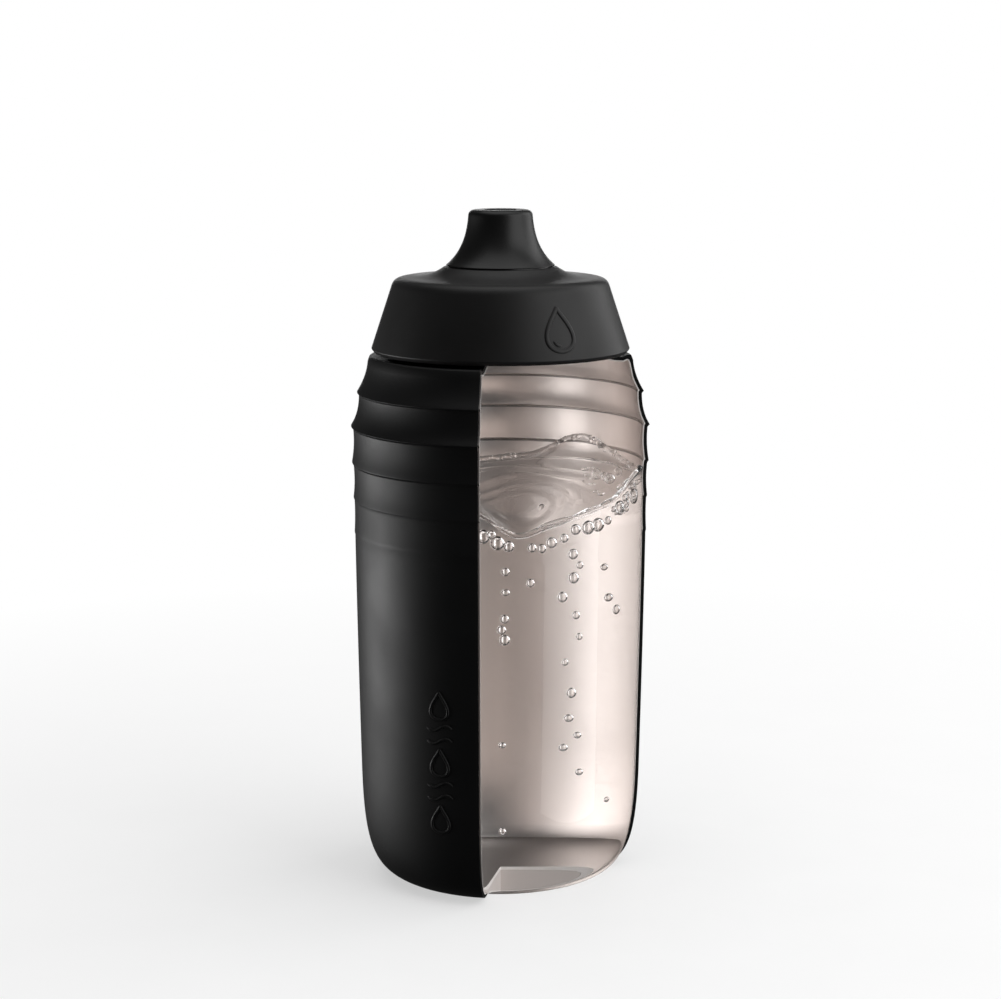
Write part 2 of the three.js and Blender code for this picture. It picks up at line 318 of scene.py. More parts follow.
class Look:
    """A node-based material: a Principled shader with helpers for its procedural detail."""

    def __init__(self, name, color, roughness, metallic=0.0):
        self.material = bpy.data.materials.new(name)
        self.material.use_nodes = True
        self.nodes = self.material.node_tree.nodes
        self.links = self.material.node_tree.links
        self.shader = self.nodes["Principled BSDF"]
        self.shader.inputs["Base Color"].default_value = (*color, 1)
        self.shader.inputs["Roughness"].default_value = roughness
        self.shader.inputs["Metallic"].default_value = metallic
        self.place = self.nodes.new("ShaderNodeTexCoord").outputs["Object"]
        self.normal = None

    def set(self, **values):
        for name, value in values.items():
            self.shader.inputs[name.replace("_", " ")].default_value = value
        return self

    def noise(self, scale, detail=4.0, stretch=(1, 1, 1), distortion=0.0):
        mapping = self.nodes.new("ShaderNodeMapping")
        mapping.inputs["Scale"].default_value = stretch
        self.links.new(self.place, mapping.inputs["Vector"])
        texture = self.nodes.new("ShaderNodeTexNoise")
        texture.inputs["Scale"].default_value = scale
        texture.inputs["Detail"].default_value = detail
        texture.inputs["Distortion"].default_value = distortion
        self.links.new(mapping.outputs["Vector"], texture.inputs["Vector"])
        return texture.outputs["Fac"]

    def ranged(self, value, low, high, source=(0.3, 0.7)):
        node = self.nodes.new("ShaderNodeMapRange")
        node.inputs["From Min"].default_value = source[0]
        node.inputs["From Max"].default_value = source[1]
        node.inputs["To Min"].default_value = low
        node.inputs["To Max"].default_value = high
        self.links.new(value, node.inputs["Value"])
        return node.outputs["Result"]

    def mix_color(self, factor, first, second):
        node = self.nodes.new("ShaderNodeMix")
        node.data_type = "RGBA"
        node.inputs[6].default_value = (*first, 1)
        node.inputs[7].default_value = (*second, 1)
        self.links.new(factor, node.inputs[0])
        self.links.new(node.outputs[2], self.shader.inputs["Base Color"])
        return self

    def rough(self, factor, low, high):
        self.links.new(self.ranged(factor, low, high), self.shader.inputs["Roughness"])
        return self

    def painted_crease_shade(self, height, half_width, shade):
        """Painted shade: darkens the colour along a level line on the wall, where a corner gets little
        light.
        """
        split = self.nodes.new("ShaderNodeSeparateXYZ")
        self.links.new(self.place, split.inputs[0])
        offset = self.nodes.new("ShaderNodeMath")
        offset.operation = "SUBTRACT"
        offset.inputs[1].default_value = height * MM
        self.links.new(split.outputs["Z"], offset.inputs[0])
        away = self.nodes.new("ShaderNodeMath")
        away.operation = "ABSOLUTE"
        self.links.new(offset.outputs[0], away.inputs[0])
        kept = self.ranged(away.outputs[0], shade, 1.0, (0.0, half_width * MM))
        color = self.shader.inputs["Base Color"].links[0].from_socket
        darker = self.nodes.new("ShaderNodeVectorMath")
        darker.operation = "SCALE"
        self.links.new(color, darker.inputs[0])
        self.links.new(kept, darker.inputs["Scale"])
        self.links.new(darker.outputs[0], self.shader.inputs["Base Color"])
        return self

    def bump(self, height, strength, depth_mm):
        node = self.nodes.new("ShaderNodeBump")
        node.inputs["Strength"].default_value = strength
        node.inputs["Distance"].default_value = depth_mm * MM
        self.links.new(height, node.inputs["Height"])
        if self.normal:
            self.links.new(self.normal, node.inputs["Normal"])
        self.normal = node.outputs["Normal"]
        self.links.new(self.normal, self.shader.inputs["Normal"])
        return self


def moulded_look(name, dark, light, rough_range, grain=2600.0, grain_depth=0.02, specular=0.3):
    """Moulded plastic or rubber: two close tones in clouds, a fine grain and a slight unevenness."""
    look = Look(name, dark, 0.5)
    cloud = look.noise(22.0, 3.0)
    look.mix_color(look.ranged(cloud, 0.0, 1.0), dark, light)
    look.rough(look.noise(60.0, 5.0), *rough_range)
    look.bump(look.noise(grain, 2.0), 0.5, grain_depth)
    look.bump(look.noise(90.0, 2.0), 0.15, 0.02)
    look.set(Specular_IOR_Level=specular)
    return look.material


def soft_body_look():
    dark, light = (0.0022, 0.0022, 0.0023), (0.0036, 0.0036, 0.0038)
    return moulded_look("soft_body", dark, light, (0.45, 0.53), specular=0.22)


def soft_touch_look():
    dark, light = (0.0036, 0.0034, 0.0034), (0.0054, 0.0051, 0.0051)
    material = moulded_look("soft_touch", dark, light, (0.44, 0.54), 3400.0, 0.015, 0.28)
    shader = material.node_tree.nodes["Principled BSDF"]
    shader.inputs["Sheen Weight"].default_value = 0.02
    shader.inputs["Sheen Roughness"].default_value = 0.5
    return material


def mouthpiece_look():
    dark, light = (0.003, 0.003, 0.003), (0.0046, 0.0046, 0.0046)
    return moulded_look("mouthpiece", dark, light, (0.36, 0.46), 3000.0, specular=0.28)


def hard_plastic_look():
    dark, light = (0.006, 0.006, 0.0065), (0.01, 0.01, 0.0105)
    return moulded_look("hard_plastic", dark, light, (0.28, 0.38), 1800.0, 0.01, 0.4)


def silicone_look():
    dark, light = (0.035, 0.036, 0.038), (0.05, 0.051, 0.053)
    return moulded_look("silicone", dark, light, (0.5, 0.6), 2200.0, 0.015)


def pale_rubber_look():
    dark, light = (0.60, 0.55, 0.525), (0.68, 0.62, 0.59)
    return moulded_look("pale_rubber", dark, light, (0.3, 0.4), 1500.0, 0.01, 0.5)


def cut_edge_look():
    """Freshly cut metal: pale, and duller than the lining's face."""
    look = Look("cut_edge", (0.93, 0.9, 0.88), 0.5, 0.35)
    look.mix_color(look.ranged(look.noise(300.0, 2.0), 0.0, 1.0), (0.9, 0.86, 0.83), (0.97, 0.94, 0.92))
    look.rough(look.noise(900.0, 2.0), 0.42, 0.55)
    look.bump(look.noise(2600.0, 2.0), 0.3, 0.004)
    return look.material


TITANIUM_DARK = (0.88, 0.832, 0.808)
TITANIUM_LIGHT = (0.90, 0.852, 0.828)


def titanium_look(name, shade, paints_crease_shade):
    """Bead-blasted metal, its colour scaled by shade, which is a painted shade where below 1. The last
    argument paints shade as a dark line under each ring and a dark band at the wall's foot.
    """
    look = Look(name, (0.90, 0.84, 0.81), 0.36, 1.0)
    cloud = look.noise(14.0, 2.0)
    dark = tuple(shade * tone for tone in TITANIUM_DARK)
    light = tuple(shade * tone for tone in TITANIUM_LIGHT)
    look.mix_color(look.ranged(cloud, 0.0, 1.0), dark, light)
    # painted shade: dark lines in the hollows under the rings and a darker band at the wall's foot, where
    # little light reaches
    if paints_crease_shade:
        for lip, _, _ in RINGS[1:]:
            look.painted_crease_shade(lip[1] - LIP_DROP / 2, 0.33, 0.2)
        look.painted_crease_shade(FLOOR_UNDERSIDE + FLOOR_THICKNESS, 2.6, 0.5)
    look.rough(look.noise(2200.0, 2.0), 0.28, 0.35)
    look.bump(look.noise(3600.0, 2.0), 0.6, 0.005)
    return look.material


def water_look():
    """Clear water with a trace of warmth and the least unevenness."""
    look = Look("water", (1.0, 1.0, 1.0), 0.0)
    look.set(Transmission_Weight=1.0, IOR=1.333, Specular_IOR_Level=0.9)
    tint = look.noise(40.0, 2.0)
    look.mix_color(look.ranged(tint, 0.0, 1.0), (0.993, 0.99, 0.988), (1.0, 1.0, 1.0))
    look.rough(look.noise(90.0, 2.0), 0.0, 0.004)
    look.bump(look.noise(60.0, 1.0), 0.1, 0.006)
    return look.material


def seen_directly(nodes, links):
    """1 for what the eye sees, by itself or through water, and 0 for what lights a surface."""
    path = nodes.new("ShaderNodeLightPath")
    unreflected = nodes.new("ShaderNodeMath")
    unreflected.operation = "LESS_THAN"
    unreflected.inputs[1].default_value = 0.5
    links.new(path.outputs["Glossy Depth"], unreflected.inputs[0])
    through = nodes.new("ShaderNodeMath")
    through.operation = "MULTIPLY"
    links.new(path.outputs["Is Transmission Ray"], through.inputs[0])
    links.new(unreflected.outputs[0], through.inputs[1])
    either = nodes.new("ShaderNodeMath")
    either.operation = "MAXIMUM"
    links.new(path.outputs["Is Camera Ray"], either.inputs[0])
    links.new(through.outputs[0], either.inputs[1])
    return either.outputs[0]


def floor_look():
    """Pale paper. It is white to the eye far off, and a dim light, so that dark surfaces stay dark."""
    look = Look("studio_floor", (0.86, 0.86, 0.86), 0.7)
    look.set(Specular_IOR_Level=0.0)
    nodes, links = look.nodes, look.links
    eye = seen_directly(nodes, links)
    grain = look.ranged(look.noise(40.0, 3.0), 0.97, 1.0)
    near_far = nodes.new("ShaderNodeVectorMath")
    near_far.operation = "LENGTH"
    links.new(look.place, near_far.inputs[0])
    far = look.ranged(near_far.outputs["Value"], 0.55, 1.0, (0.04, 0.35))
    shade = nodes.new("ShaderNodeMath")
    shade.operation = "MULTIPLY"
    links.new(eye, shade.inputs[0])
    links.new(far, shade.inputs[1])
    pale = look.ranged(eye, FLOOR_AS_LIGHT, 0.86, (0.0, 1.0))
    paper = nodes.new("ShaderNodeMath")
    paper.operation = "MULTIPLY"
    links.new(pale, paper.inputs[0])
    links.new(grain, paper.inputs[1])
    links.new(paper.outputs[0], look.shader.inputs["Base Color"])
    glow = nodes.new("ShaderNodeEmission")
    mix = nodes.new("ShaderNodeMixShader")
    links.new(shade.outputs[0], mix.inputs[0])
    links.new(look.shader.outputs[0], mix.inputs[1])
    links.new(glow.outputs[0], mix.inputs[2])
    links.new(mix.outputs[0], nodes["Material Output"].inputs["Surface"])
    return look.material


SOFT_BODY = soft_body_look()
SOFT_TOUCH = soft_touch_look()
MOUTHPIECE = mouthpiece_look()
HARD_PLASTIC = hard_plastic_look()
SILICONE = silicone_look()
PALE_RUBBER = pale_rubber_look()
TITANIUM = titanium_look("titanium", 1.0, True)
# the floor plate's metal: the lining's titanium at 0.6 brightness, a painted shade
TITANIUM_SHADED_FLOOR = titanium_look("titanium_floor_shaded", 0.6, False)
CUT_EDGE = cut_edge_look()
WATER = water_look()

# ---- Bottle body ----

KEPT_SWEEP = (WINDOW_END, 360 + WINDOW_START)
LINING_SWEEP = (WINDOW_END, 360 + WINDOW_START + 0.5)


def bottle_shell():
    shell = Solid()
    inside = [p for p in body_inside() if p[1] < WINDOW_TOP]
    lower = [*body_wall(), *shoulder_outside(), (NECK_BORE, WINDOW_TOP), *reversed(inside)]
    shell.revolve(soften(lower, 0.14), FINE, KEPT_SWEEP)
    neck = [
        (NECK_BORE, WINDOW_TOP), (NECK_RADIUS, WINDOW_TOP), (NECK_RADIUS, NECK_TOP), (NECK_BORE, NECK_TOP),
    ]
    shell.revolve(soften(neck, 0.25, True))
    thread(shell, NECK_RADIUS - 0.3, NECK_THREAD_CREST, NECK_THREAD_FOOT)
    return shell.build("bottle_body", SOFT_BODY)


def pale_cut_edges(piece, faces):
    """Gives the two end faces of a part-turned outline the look of cut metal."""
    piece.data.materials.append(CUT_EDGE)
    for face in faces:
        piece.data.polygons[face].material_index = 1
    return piece


def titanium_liner():
    liner = Solid()
    outside = inset(body_inside(), LINER_GAP)
    inside = inset(body_inside(), LINER_GAP + LINER_WALL)
    low_out = [p for p in outside if p[1] < WINDOW_TOP]
    low_in = [p for p in inside if p[1] < WINDOW_TOP]
    bore = NECK_BORE - LINER_GAP
    thin = bore - LINER_WALL
    lower = [*low_out, (bore, WINDOW_TOP), (thin, WINDOW_TOP), *reversed(low_in)]
    liner.revolve(soften(lower, 0.08, False, 22.0, 3), FINE, LINING_SWEEP)
    ends = (len(liner.faces) - 2, len(liner.faces) - 1)
    neck = [(thin, WINDOW_TOP), (bore, WINDOW_TOP), (bore, NECK_TOP - 0.1), (thin, NECK_TOP - 0.1)]
    liner.revolve(soften(neck, 0.08, True, 22.0, 3))
    return pale_cut_edges(liner.build("metal_lining", TITANIUM), ends)


def inner_radius(height):
    """Radius of the lining's inner face at a height, on the side wall."""
    path = [p for p in inset(body_inside(), LINER_GAP + LINER_WALL) if p[0] > 17]
    for low, high in zip(path, path[1:]):
        if low[1] <= height <= high[1] and high[1] > low[1]:
            share = (height - low[1]) / (high[1] - low[1])
            return low[0] + share * (high[0] - low[0])
    return path[-1][0]


def liner_floor():
    """The raised floor plate, with pale cut ends."""
    under, top = FLOOR_UNDERSIDE, FLOOR_UNDERSIDE + FLOOR_THICKNESS
    edge = inner_radius(under) - TOUCH
    outline = [(0, under), (edge, under), (edge, top), (0, top)]
    plate = Solid().revolve(outline, FINE, LINING_SWEEP)
    ends = (len(plate.faces) - 2, len(plate.faces) - 1)
    return pale_cut_edges(plate.build("floor_plate", TITANIUM_SHADED_FLOOR), ends)


def floor_pad():
    """The pale pad that fills the rounded foot under the floor plate."""
    wall = inset(body_inside(), LINER_GAP + LINER_WALL + TOUCH)
    top = FLOOR_UNDERSIDE - TOUCH
    below = [p for p in wall if p[1] < top]
    edge = inner_radius(top) - TOUCH
    pad = Solid().revolve([*below, (edge, top), (0, top)], FINE, LINING_SWEEP)
    return pad.build("foot_pad", PALE_RUBBER)


# ---- Water ----


def seen_by_the_eye(piece):
    """Water bends what is seen through it, and casts neither shade nor specks of light on the lining."""
    piece.visible_shadow = False
    piece.visible_glossy = False
    piece.visible_diffuse = False


# Height of the water where it meets the wall, by the angle in degrees right of the front.
WATER_EDGE = [
    (-60, 99), (-25, 98.5), (-8, 97), (6, 92), (20, 94.2), (35, 96.3), (52, 98.5), (65, 102), (80, 103.5),
    (100, 101), (122, 103), (144, 106.5), (165, 101), (185, 99.5), (215, 98), (250, 99), (300, 99),
]
WATER_RING = sorted({(angle + turn, height) for turn in (-360, 0, 360) for angle, height in WATER_EDGE})
WATER_OVERLAP = 0.06  # how far the water reaches into the lining, so that no air shows between them
WATER_REACH = 35.5
MENISCUS = 1.2
MENISCUS_SPREAD = 1.1
SWIRL = (4.0, -21.0)
SWIRL_DIP = 2.8
SWIRL_REACH = 7.0
# distance of each crest from the swirl's middle, its width, its height
SWIRL_CRESTS = ((7.5, 1.2, 0.7), (12.0, 1.4, 1.0), (18.5, 1.9, 0.85), (27.0, 2.0, 0.6))


def edge_height(degrees):
    """Smooth periodic interpolation of WATER_EDGE."""
    degrees = (degrees + 60) % 360 - 60
    index = max(i for i, (angle, _) in enumerate(WATER_RING) if angle <= degrees)
    (x0, y0), (x1, y1), (x2, y2), (x3, y3) = WATER_RING[index - 1:index + 3]
    t = (degrees - x1) / (x2 - x1)
    m1 = (y2 - y0) / (x2 - x0) * (x2 - x1)
    m2 = (y3 - y1) / (x3 - x1) * (x2 - x1)
    a = 2 * t ** 3 - 3 * t * t + 1
    b = t ** 3 - 2 * t * t + t
    c = -2 * t ** 3 + 3 * t * t
    d = t ** 3 - t * t
    return a * y1 + b * m1 + c * y2 + d * m2


def edge_waves(count=26, samples=240):
    """The edge's height as a sum of waves round the wall: (cosine part, sine part) for 0, 1, 2... waves."""
    waves = []
    for order in range(count):
        cosine = sine = 0.0
        for sample in range(samples):
            angle = 2 * math.pi * sample / samples
            height = edge_height(math.degrees(angle) + 90)
            cosine += height * math.cos(order * angle)
            sine += height * math.sin(order * angle)
        scale = (1 if order == 0 else 2) / samples
        waves.append((cosine * scale, sine * scale))
    return waves


def surface_height(x, y, share, waves):
    """Height of the water's surface: a skin stretched on its edge, with a swirl and small waves.

    share is 0 on the axis and 1 at the wall.
    """
    angle = math.atan2(y, x)
    level = 0.0
    for order, (cosine, sine) in enumerate(waves):
        level += share ** order * (cosine * math.cos(order * angle) + sine * math.sin(order * angle))
    calm = 1 - share ** 4
    east, north = x - SWIRL[0], 0.85 * (y - SWIRL[1])
    away = math.hypot(east, north)
    spin = math.atan2(north, east) / math.pi
    level -= SWIRL_DIP * math.exp(-(away / SWIRL_REACH) ** 2) * calm
    for crest, width, height in SWIRL_CRESTS:
        level += height * math.exp(-((away - crest - 3.0 * spin) / width) ** 2) * (0.6 - 0.4 * spin) * calm
    level += 0.7 * math.sin(0.15 * x + 0.1 * y + 0.8) * calm
    level += 1.2 * noise.noise(Vector((x * 0.06, y * 0.06, 3.1))) * calm
    return level + MENISCUS * math.exp(-(1 - share) * 36 / MENISCUS_SPREAD)


def water_body():
    water = Solid()
    floor_path = [p for p in inset(body_inside(), LINER_GAP + LINER_WALL - WATER_OVERLAP) if p[1] < 27]
    wall_steps, top_rings, columns = 44, 90, FINE
    rows = []
    for radius, height in floor_path:
        rows.append([(radius, height)] * columns)
    edges = [edge_height(360 * c / columns + 90) + MENISCUS for c in range(columns)]
    waves = edge_waves()
    base = floor_path[-1][1]
    for step in range(1, wall_steps + 1):
        row = []
        for column in range(columns):
            height = base + (edges[column] - base) * step / wall_steps
            row.append((inner_radius(height) + WATER_OVERLAP, height))
        rows.append(row)
    for ring in range(1, top_rings + 1):
        share = 1 - (ring / top_rings) ** 1.3
        row = []
        for column in range(columns):
            angle = math.radians(360 * column / columns)
            radius = share * rows[len(floor_path) + wall_steps - 1][column][0]
            x, y = radius * math.cos(angle), radius * math.sin(angle)
            row.append((radius, surface_height(x, y, share, waves)))
        rows.append(row)
    rings = []
    for index, row in enumerate(rows):
        if index in (0, len(rows) - 1):
            middle = sum(h for _, h in row) / columns
            water.points.append((0.0, 0.0, middle))
            rings.append([len(water.points) - 1] * columns)
            continue
        ring = []
        for column, (radius, height) in enumerate(row):
            angle = math.radians(360 * column / columns)
            water.points.append((radius * math.cos(angle), radius * math.sin(angle), height))
            ring.append(len(water.points) - 1)
        rings.append(ring)
    for lower, upper in zip(rings, rings[1:]):
        for column in range(columns):
            after = (column + 1) % columns
            corners = list(dict.fromkeys([lower[column], lower[after], upper[after], upper[column]]))
            if len(corners) > 2:
                water.faces.append(corners)
    add_bubbles(water, waves)
    piece = water.build("water", WATER, 60.0)
    seen_by_the_eye(piece)
    return piece


CONTACT_RADIUS = 34
# angles right of the front of the larger bubbles that hang below the water's front edge
CONTACT_ANGLES = (-6.8, -3.6, -1.2, 3.2, 12.5, 16.5, 20.5, 26, 31, 37, 42, 48, 55, 61, 66)
CONTACT_SIZES = (1.1, 1.35, 1.75, 2.0)
FROTH_BUBBLES = 22
SURFACE_BUBBLES = 12
# rising bubbles: distance right of the middle, heights, and how far they stray sideways
RISING_COLUMNS = (
    (0.6, (19.7, 41.5, 67.4, 69.9, 72.6, 79, 84.1), 0.6),
    (7.0, (81.2,), 0.2),
    (17.0, (33, 39.8, 42.5, 47, 53.3, 61.2, 67, 72.4, 77.2, 81.6, 84.6, 87.4), 2.6),
    (25.8, (24, 71.6, 75.2, 83), 2.0),
)


def add_bubbles(water, waves):
    """Air bubbles, as hollows in the water, close behind its face in the window."""
    pick = random.Random(7)

    def across(degrees):
        return math.sin(math.radians(degrees)) * CONTACT_RADIUS

    def bubble(x, height, radius, squash=1.0):
        wall = inner_radius(height) - radius - pick.uniform(0.25, 0.9)
        if abs(x) < wall:
            water.ball((x, -math.sqrt(wall * wall - x * x), height), radius, True, squash)

    for degrees in CONTACT_ANGLES:
        size = pick.choice(CONTACT_SIZES)
        bubble(across(degrees), edge_height(degrees) - pick.uniform(2.4, 4.4), size)
    for _ in range(FROTH_BUBBLES):
        degrees = 50 + 24 * pick.random()
        bubble(across(degrees), edge_height(degrees) - pick.uniform(0.9, 5.5), pick.uniform(0.35, 1.05), 0.9)
    for _ in range(SURFACE_BUBBLES):
        turn = math.radians(pick.uniform(-40, 50))
        reach = pick.uniform(22, 30)
        x, y = reach * math.cos(turn), reach * math.sin(turn)
        size = pick.uniform(0.6, 1.2)
        level = surface_height(x, y, reach / WATER_REACH, waves) - size - 0.12
        water.ball((x, y, level), size, True, 0.85)
    for x, heights, spread in RISING_COLUMNS:
        for height in heights:
            squash = pick.choice((1.0, 1.0, 0.75))
            bubble(x + pick.uniform(-spread, spread), height, pick.uniform(0.8, 1.45), squash)


BACK_DROPS = 44
BACK_FIRST, BACK_SWEEP = 96, 92  # degrees right of the front, and how far on the drops go
BEAD_THICKNESS = 0.7
BEAD_WOBBLE = 0.35
BEAD_STEPS, BEAD_SIDES = 240, 10
# bubbles that float on the surface: right of the middle, behind the middle, radius
FLOATING_BUBBLES = ((24.0, 0.0, 1.45), (26.0, -3.5, 1.2), (26.8, -8.0, 1.35), (29.5, 3.0, 1.0))
FILM_SHARE = 0.84  # inner radius of a floating bubble's film, as a share of its outer radius


def wall_drops():
    """Drops along the back of the water's edge, its bead, floating bubbles, and a drop over the swirl."""
    drops = Solid()
    pick = random.Random(11)
    waves = edge_waves()
    for step in range(BACK_DROPS):
        degrees = BACK_FIRST + BACK_SWEEP * step / (BACK_DROPS - 1) + pick.uniform(-1.2, 1.2)
        height = edge_height(degrees) + 0.7
        radius = pick.uniform(0.35, 1.05)
        angle = math.radians(degrees - 90)
        wall = inner_radius(height) - radius * 0.8
        centre = (wall * math.cos(angle), wall * math.sin(angle), height + pick.uniform(-0.7, 0.5))
        drops.ball(centre, radius, False, 0.85, 12, 18)
    sections = []
    for step in range(BEAD_STEPS):
        angle = 2 * math.pi * step / BEAD_STEPS
        height = edge_height(math.degrees(angle) + 90) + MENISCUS - 0.35
        wobble = noise.noise(Vector((9 * math.cos(angle), 9 * math.sin(angle), 5.0)))
        thick = BEAD_THICKNESS + BEAD_WOBBLE * wobble
        middle = inner_radius(height) - thick
        ring = []
        for corner in range(BEAD_SIDES):
            turn = 2 * math.pi * corner / BEAD_SIDES
            radius = middle + thick * math.cos(turn)
            up = height + thick * math.sin(turn)
            ring.append((radius * math.cos(angle), radius * math.sin(angle), up))
        sections.append(list(reversed(ring)))
    drops.loft(sections, True)
    level = surface_height(*SWIRL, math.hypot(*SWIRL) / WATER_REACH, waves)
    drops.ball((SWIRL[0] + 6, SWIRL[1] + 2, level + 1.6), 0.9, False, 1.3)
    for x, y, radius in FLOATING_BUBBLES:
        level = surface_height(x, y, math.hypot(x, y) / WATER_REACH, waves)
        drops.ball((x, y, level + 0.8 * radius), radius)
        drops.ball((x, y, level + 0.8 * radius), FILM_SHARE * radius, True)
    piece = drops.build("water_drops", WATER, 60.0)
    seen_by_the_eye(piece)
    return piece


# ---- Relief on the body and the cap ----


def on_body(across, height, proud):
    """A point proud of the body's outside, across millimetres right of the relief's middle line."""
    path = body_wall()
    radius = 35.9
    for low, high in zip(path, path[1:]):
        if low[0] > 17 and low[1] <= height <= high[1] and high[1] > low[1]:
            radius = low[0] + (high[0] - low[0]) * (height - low[1]) / (high[1] - low[1])
    angle = math.radians(-114.4) + across / radius
    return ((radius + proud) * math.cos(angle), (radius + proud) * math.sin(angle), height)


CAP_SLOPE = math.atan2(31.83 - 26.95, 148.3 - 133.5)


def on_cap(across, up, proud):
    """A point proud of the cap's sloping side, measured from the middle of its badge."""
    height = 140.6 + up * math.cos(CAP_SLOPE)
    radius = 31.83 - (height - 133.5) * math.tan(CAP_SLOPE) + proud * math.cos(CAP_SLOPE)
    angle = math.radians(-62) + across / radius
    return (radius * math.cos(angle), radius * math.sin(angle), height + proud * math.sin(CAP_SLOPE))


def bead(solid, place, path, width, proud, closed=False, sides=10):
    """A rounded raised line along a path of (across, up) points, sunk into its surface."""
    sections = []
    count = len(path)
    for index, point in enumerate(path):
        if closed:
            before, after = path[index - 1], path[(index + 1) % count]
        else:
            before, after = path[max(index - 1, 0)], path[min(index + 1, count - 1)]
        along = (Vector(after) - Vector(before)).normalized()
        side = Vector((along.y, -along.x))
        taper = 1.0
        if not closed:
            from_end = min(index, count - 1 - index)
            taper = math.sqrt(min(1.0, (from_end + 0.15) / 4))
        section = []
        for corner in range(sides):
            turn = 2 * math.pi * corner / sides
            shift = side * (math.cos(turn) * width / 2 * taper)
            section.append(place(point[0] + shift.x, point[1] + shift.y, math.sin(turn) * proud * taper))
        sections.append(section)
    solid.loft(sections, closed)


def drop_outline(middle, size, steps=40):
    """A water drop, point up, as (across, up) points."""
    points = []
    for step in range(steps):
        t = 2 * math.pi * step / steps
        across = size * 0.52 * math.sin(t) * math.sin(t / 2) ** 1.4
        points.append((middle[0] + across * 1.15, middle[1] + size * 0.62 * math.cos(t)))
    return points


def body_relief():
    relief = Solid()
    for index in range(5):
        middle = 22.5 + 7.1 * index
        if index % 2 == 0:
            bead(relief, on_body, drop_outline((0, middle), 5.4), 0.8, 0.3, True)
            continue
        for shift in (-1.6, 1.6):
            wave = []
            for step in range(31):
                across = -3.4 + 6.8 * step / 30
                wave.append((across, middle + shift + 0.7 * math.sin(2 * math.pi * across / 6.8)))
            bead(relief, on_body, wave, 0.8, 0.3)
    return relief.build("body_relief", SOFT_BODY, 60.0)


def cap_badge():
    badge = Solid()
    bead(badge, on_cap, drop_outline((0, 0), 8.4, 64), 1.15, 0.3, True, 14)
    shine = []
    for step in range(13):
        turn = math.radians(200 + 70 * step / 12)
        shine.append((2.1 * math.cos(turn), -1.9 + 2.1 * math.sin(turn)))
    bead(badge, on_cap, shine, 0.8, 0.28, False, 12)
    return badge.build("cap_badge", SOFT_TOUCH, 60.0)


# ---- Cap ----


def turned(reach, side, angle, height):
    """A point out along a spoke or rib at an angle, and to its side."""
    return (
        reach * math.cos(angle) - side * math.sin(angle), reach * math.sin(angle) + side * math.cos(angle),
        height,
    )


def cap_cover():
    shoulder = bend((26.95, 148.3), (26.4, 150.3), (25.6, 150.8), (23.3, 150.9), 14)
    flare = bend((23.3, 150.9), (17.5, 151.05), (16.2, 151.9), (13.8, 153.45), 18)
    outside = [(31, 132.5), (31.83, 133.5), *shoulder, *flare[1:], (12.7, 153.45)]
    inside = [(12.7, 150.3), (15.5, 149.75), (24.5, 149.75), (25.2, 149.2), (25.75, 147.8),
              (30.4, 133.6), (30.4, 132.7)]
    cover = Solid().revolve(soften([*outside, *inside], 0.22, True))
    return cover.build("cap_outer", SOFT_TOUCH)


def cap_core():
    hole = TUBE_RADIUS + 0.35
    cup = [
        (hole, DECK_UNDER), (SKIRT_BORE, DECK_UNDER), (SKIRT_BORE, SKIRT_FOOT + 0.4),
        (SKIRT_BORE + 0.3, SKIRT_FOOT), (SKIRT_RADIUS, SKIRT_FOOT), (SKIRT_RADIUS, 147.6),
        (24.2, DECK_TOP), (hole, DECK_TOP),
    ]
    core = Solid().revolve(soften(cup, 0.2, True))
    thread(core, SKIRT_BORE + 0.3, CAP_THREAD_CREST, NECK_THREAD_FOOT - THREAD_LEAD / THREAD_STARTS / 2)
    inner, half, round_off = SKIRT_RADIUS - 0.3, 0.6, 0.15
    sides = ((-half, round_off), (-half + round_off, 0), (half - round_off, 0), (half, round_off))
    for index in range(RIB_COUNT):
        angle = 2 * math.pi * index / RIB_COUNT
        sections = []
        for side, shrink in sides:
            outline = [
                (inner, 134.2 + shrink), (29.85 - shrink, 134.2 + shrink), (25.65 - shrink, 147 - shrink),
                (inner, 147 - shrink),
            ]
            sections.append([turned(r, side, angle, z) for r, z in reversed(outline)])
        core.loft(sections)
    return core.build("cap_inner", HARD_PLASTIC)


def flat_ring(name, inner, outer, bottom, top, material):
    outline = [(inner, bottom), (outer, bottom), (outer, top), (inner, top)]
    return Solid().revolve(soften(outline, 0.2, True)).build(name, material)


# ---- Valve and nozzle ----


def valve_stem():
    tube = [
        (TUBE_BORE, 146.4), (9.5, 146.4), (9.5, 147.5), (TUBE_RADIUS, 147.5), (TUBE_RADIUS, 149.75),
        (5.8, 149.8), (5.5, 150.25), (TUBE_RADIUS, 150.3), (TUBE_RADIUS, 158.7), (5.55, 158.9),
        (5.55, 159.5), (TUBE_RADIUS, 160), (TUBE_BORE, 160),
    ]
    plug = [
        (0, 156.5), (2.2, 156.5), (2.2, 161), (3.2, 161.8), (3.2, 163.8), (2.6, 164.3), (0, 164.6),
    ]
    stem = Solid().revolve(soften(tube, 0.15, True), SMALL)
    stem.revolve(soften(plug, 0.3), SMALL)
    spoke = [
        (-0.7, 157.3), (-0.4, 157), (0.4, 157), (0.7, 157.3), (0.7, 159.2), (0.4, 159.5), (-0.4, 159.5),
        (-0.7, 159.2),
    ]
    for index in range(SPOKE_COUNT):
        angle = 2 * math.pi * index / SPOKE_COUNT
        sections = []
        for reach in (1.8, TUBE_BORE + 0.3):
            sections.append([turned(reach, side, angle, z) for side, z in spoke])
        stem.loft(sections)
    return stem.build("stem", HARD_PLASTIC)


